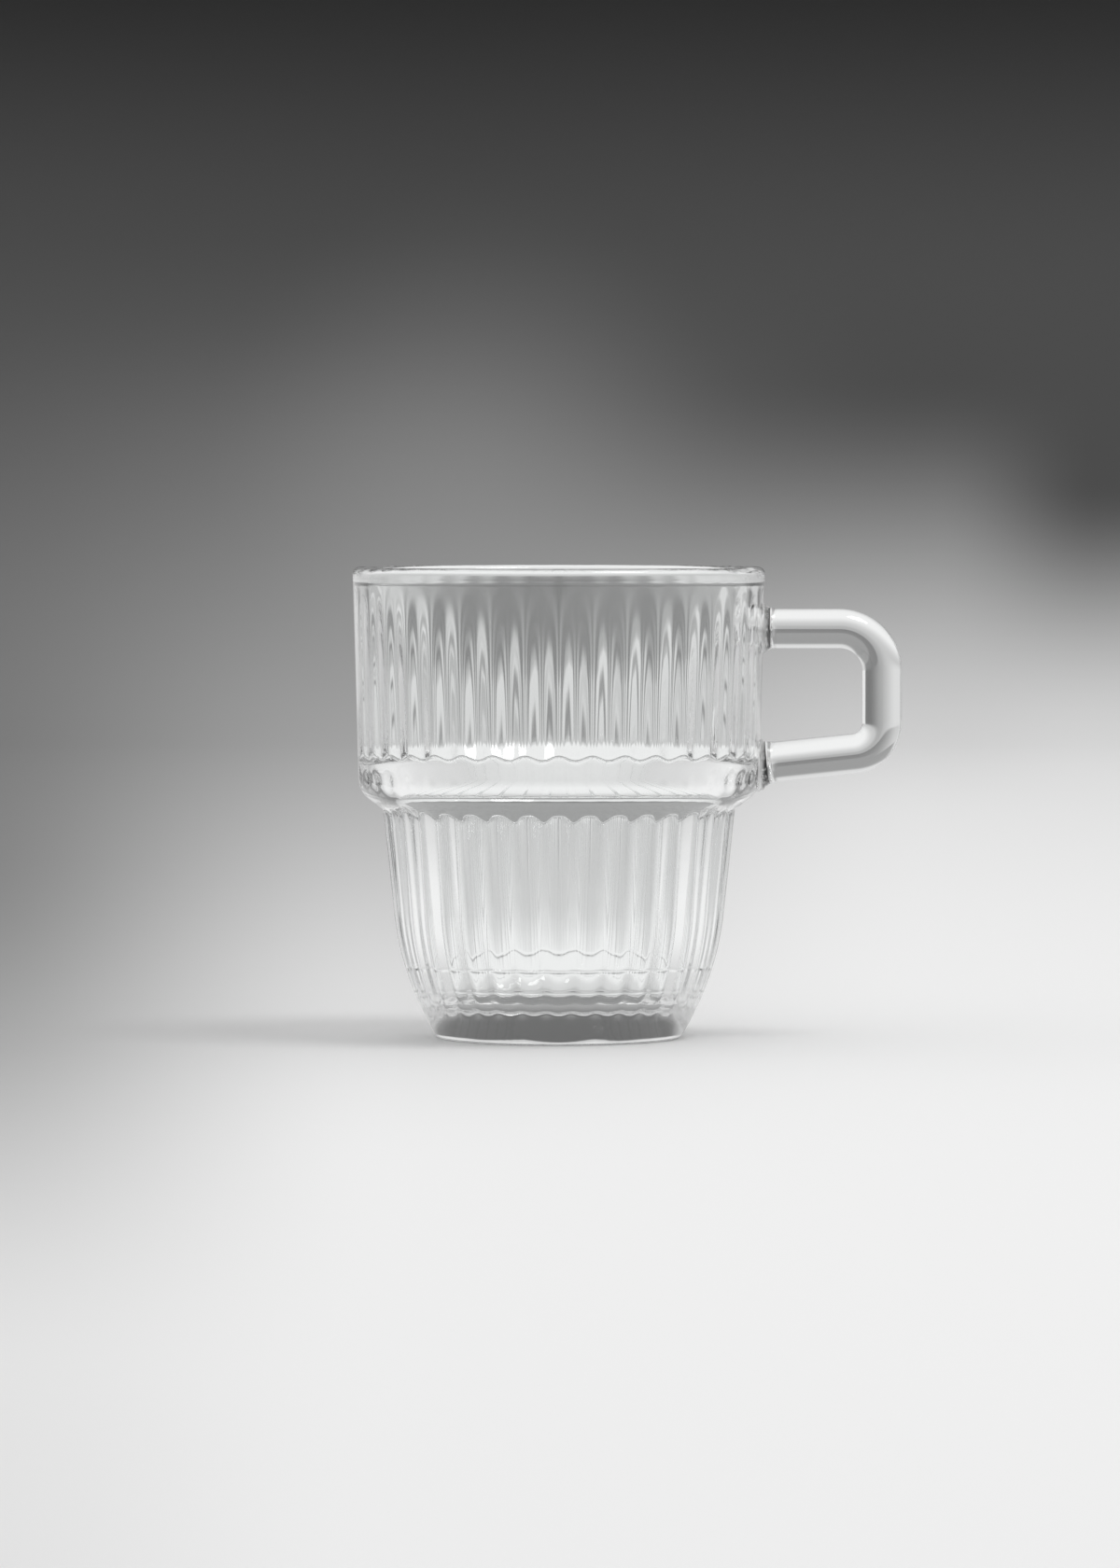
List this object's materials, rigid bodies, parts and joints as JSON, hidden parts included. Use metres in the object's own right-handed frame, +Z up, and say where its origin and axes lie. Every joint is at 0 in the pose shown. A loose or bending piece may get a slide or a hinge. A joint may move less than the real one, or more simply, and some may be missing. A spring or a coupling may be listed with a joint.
{
  "type": "stackable glass coffee mug",
  "caption": "Small stackable pressed-glass mug with an inner-ribbed straight wall, a reeded tapering base and a bent glass-rod handle welded to one side.",
  "frame": {"origin": "centre of the flat base, on the surface that the mug stands on, on the axis of the round body", "axes": "+Z up along the body's axis, +X through the middle of the handle, +Y to the side"},
  "size_m": [0.0972, 0.073, 0.0833],
  "materials": {
    "clear_glass": "fire-polished clear glass"
  },
  "bodies": {
    "root": {"glass_body": "clear_glass", "handle": "clear_glass"}
  },
  "joints": []
}
